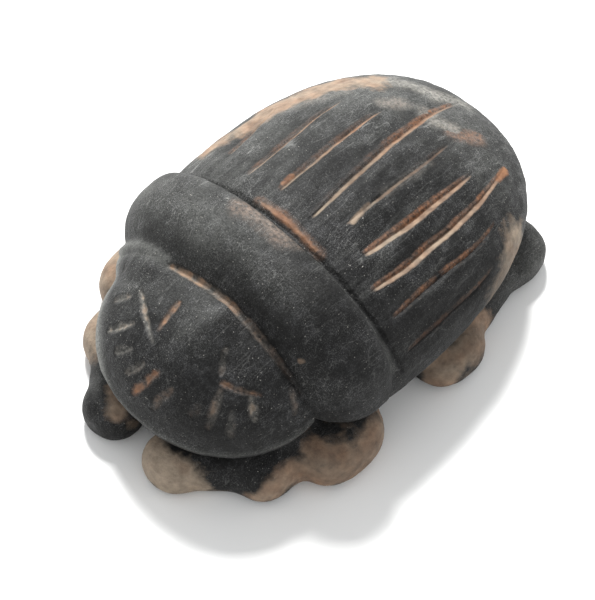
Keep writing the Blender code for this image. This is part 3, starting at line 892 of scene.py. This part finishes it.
def stone_material():
    """Carved steatite under a rubbed bluish-black stain. The stain is matte and soft, cloudy up close,
    with pale dust in its pores, fine scratches and flecks. Painted light greys it where it faces the
    window and along lit edges, and painted shade darkens it in hollows, under the shell and on the sides
    turned away. The bare stone is paler and warmer, and rough all over, so nothing shines."""
    made = bpy.data.materials.new("black_stained_steatite")
    made.use_nodes = True
    tree = made.node_tree
    tree.nodes.clear()

    place = add_node(tree, "ShaderNodeTexCoord", {}, "Object")
    lengthwise = add_node(
        tree, "ShaderNodeMapping",
        {"Vector": place, "Rotation": (0.0, 0.0, SCRATCH_TURN), "Scale": SCRATCH_STRETCH},
    )
    worn = {
        name: add_node(tree, "ShaderNodeAttribute", {}, "Fac", attribute_name=name)
        for name in LOOKS
    }
    patterns = {}
    for name, (size, detail, roughness, stops) in STONE_PATTERNS.items():
        where = lengthwise if name == "scratches" else place
        reading = add_node(
            tree, "ShaderNodeTexNoise",
            {"Vector": where, "Scale": 1.0 / (size * MM), "Detail": detail, "Roughness": roughness},
        )
        patterns[name] = add_node(tree, "ShaderNodeValToRGB", {"Fac": reading}, stops=stops)

    # Dust and painted light cling in the grit and lie as powder, and bare stone and smears have patchy edges
    multiply = {"operation": "MULTIPLY", "use_clamp": True}
    grit_dust_and_light = add_node(tree, "ShaderNodeMath", {0: worn["dust_and_painted_light"], 1: 0.55}, **multiply)
    spread_dust_and_light = add_node(
        tree, "ShaderNodeMath", {0: worn["dust_and_painted_light"], 1: 1.2, 2: 0.5}, operation="MULTIPLY_ADD", use_clamp=True,
    )
    powder_and_light = add_node(tree, "ShaderNodeMath", {0: patterns["powder_and_light"], 1: spread_dust_and_light}, **multiply)
    reached = add_node(
        tree, "ShaderNodeMath", {0: worn["bare"], 1: patterns["worn_edge"]},
        operation="ADD", use_clamp=True,
    )
    shown = add_node(tree, "ShaderNodeValToRGB", {"Fac": reached}, stops=((0.12, 0.0), (0.85, 1.0)))
    stone = add_node(
        tree, "ShaderNodeMix",
        {FACTOR: worn["warm"], UNDER: patterns["pale_stone"], OVER: patterns["brown_stone"]},
        MIXED, data_type="RGBA",
    )
    film = add_node(
        tree, "ShaderNodeMix",
        {FACTOR: worn["smear_warm"], UNDER: linear("9c9991"), OVER: linear("8f6346")},
        MIXED, data_type="RGBA",
    )

    # Each layer over the stain: its colour, where it shows and how strongly, from the lowest up
    layers = (
        # The greys of the grit, fine grain and scratches show both dust and painted light
        (linear("737470"), patterns["grit"], grit_dust_and_light),
        (linear("8c8c8a"), patterns["fine_grain"], powder_and_light),
        (linear("050505"), patterns["pits"], 1.0),
        (linear("9a9a96"), patterns["scratches"], powder_and_light),
        (linear("b5b2aa"), patterns["flecks"], 1.0),
        (film, worn["smear"], patterns["patches"]),
        (stone, shown, 0.95),
        # Painted shade: near-black laid over the hollows, the legs under the shell and the sides turned from
        # the window
        (linear("0c0b0a"), worn["painted_shade"], 0.6),
    )
    colour = patterns["stain"]
    for layer, cover, strength in layers:
        amount = add_node(tree, "ShaderNodeMath", {0: cover, 1: strength}, **multiply)
        layer_inputs = {FACTOR: amount, UNDER: colour, OVER: layer}
        colour = add_node(tree, "ShaderNodeMix", layer_inputs, MIXED, data_type="RGBA")

    bumps = add_node(
        tree, "ShaderNodeTexNoise",
        {"Vector": place, "Scale": 1.0 / (BUMP_SIZE * MM), "Detail": 5.0, "Roughness": 0.6},
    )
    normal = add_node(
        tree, "ShaderNodeBump", {"Height": bumps, "Strength": 0.9, "Distance": BUMP_HEIGHT * MM},
    )
    shader = add_node(
        tree, "ShaderNodeBsdfPrincipled",
        {"Base Color": colour, "Normal": normal, "Roughness": 0.6, "Specular IOR Level": 0.16},
    )
    tree.links.new(shader, tree.nodes.new("ShaderNodeOutputMaterial").inputs["Surface"])
    return made


def build_scarab():
    """The scarab's dressed surface, in place of the plain solid."""
    piece = cad_copy()
    mesh = piece.data
    fair(mesh, 5)
    points = coordinates(mesh)
    refine(mesh, points[:, 2] > FINER_ABOVE)
    fair(mesh, 2)
    points = coordinates(mesh)
    refine(mesh, line_band(points, FINER_BESIDE))
    points = settle(coordinates(mesh), 2)
    carved, looks = carve(points)
    place_all(mesh, fitted(carved))
    for name, values in looks.items():
        store(mesh, name, values)
    mesh.materials.clear()
    mesh.materials.append(stone_material())
    mesh.shade_smooth()
    triangles = sum(len(face.vertices) - 2 for face in mesh.polygons)
    print("scarab surface", len(mesh.vertices), "points", triangles, "triangles")
    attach(piece, "root")
    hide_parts("scarab")
    return piece


def table():
    """A plain pale table top under the scarab, not part of the object. It is matte paper, so it shines
    nowhere and takes a soft shadow."""
    bpy.ops.mesh.primitive_plane_add(size=TABLE_SIZE)
    plane = bpy.context.object
    plane.name = "table_top"
    made = bpy.data.materials.new("white_paper")
    made.use_nodes = True
    shader = made.node_tree.nodes["Principled BSDF"]
    shader.inputs["Base Color"].default_value = linear("f2f2f0")
    shader.inputs["Roughness"].default_value = 0.9
    plane.data.materials.append(made)


def lamp(name, place, size, power, aim=(0.0, 0.0, 4.0)):
    """A square soft light, placed and aimed in millimetres."""
    data = bpy.data.lights.new(name, "AREA")
    data.energy = power
    data.size = size * MM
    made = bpy.data.objects.new(name, data)
    bpy.context.scene.collection.objects.link(made)
    made.location = Vector(place) * MM
    made.rotation_euler = (Vector(aim) - Vector(place)).to_track_quat("-Z", "Y").to_euler()


def studio():
    """A bright pale room with one window high behind the scarab's right side."""
    world = bpy.data.worlds.new("pale_room")
    world.use_nodes = True
    ground = world.node_tree.nodes["Background"]
    ground.inputs["Color"].default_value = linear("f7f8fa")
    ground.inputs["Strength"].default_value = 0.92
    bpy.context.scene.world = world
    lamp("window", (-125.0, 98.0, 216.0), 44.0, 1.2)
    bpy.context.scene.view_settings.view_transform = "Standard"


def camera():
    """Stands where the photograph was taken from."""
    turn, lift, roll = (math.radians(value) for value in (CAMERA_TURN, CAMERA_HEIGHT, CAMERA_ROLL))
    back = Vector((math.sin(turn) * math.cos(lift), -math.cos(turn) * math.cos(lift), math.sin(lift)))
    right = Vector((math.cos(turn), math.sin(turn), 0.0))
    up = back.cross(right)
    across = math.cos(roll) * right + math.sin(roll) * up
    above = math.cos(roll) * up - math.sin(roll) * right
    place = Vector((0.0, TAIL_Y - AIM_AHEAD_OF_TAIL, AIM_HEIGHT)) + CAMERA_DISTANCE * back
    past_aim = (across * PAST_AIM_ACROSS_PIXELS + above * PAST_AIM_ABOVE_PIXELS) / LENS_PIXELS
    turned = (back + past_aim).normalized()
    across = (across - across.dot(turned) * turned).normalized()
    above = turned.cross(across)
    data = bpy.data.cameras.new("photo_camera")
    data.lens = SENSOR_SIZE * LENS_PIXELS / PHOTO_HEIGHT_PIXELS
    data.sensor_width = SENSOR_SIZE
    data.clip_start = 0.005
    made = bpy.data.objects.new("photo_camera", data)
    directions = Matrix((across, above, turned)).transposed().to_4x4()
    made.matrix_world = Matrix.Translation(place * MM) @ directions
    bpy.context.scene.collection.objects.link(made)
    bpy.context.scene.camera = made


build_scarab()
table()
studio()
camera()
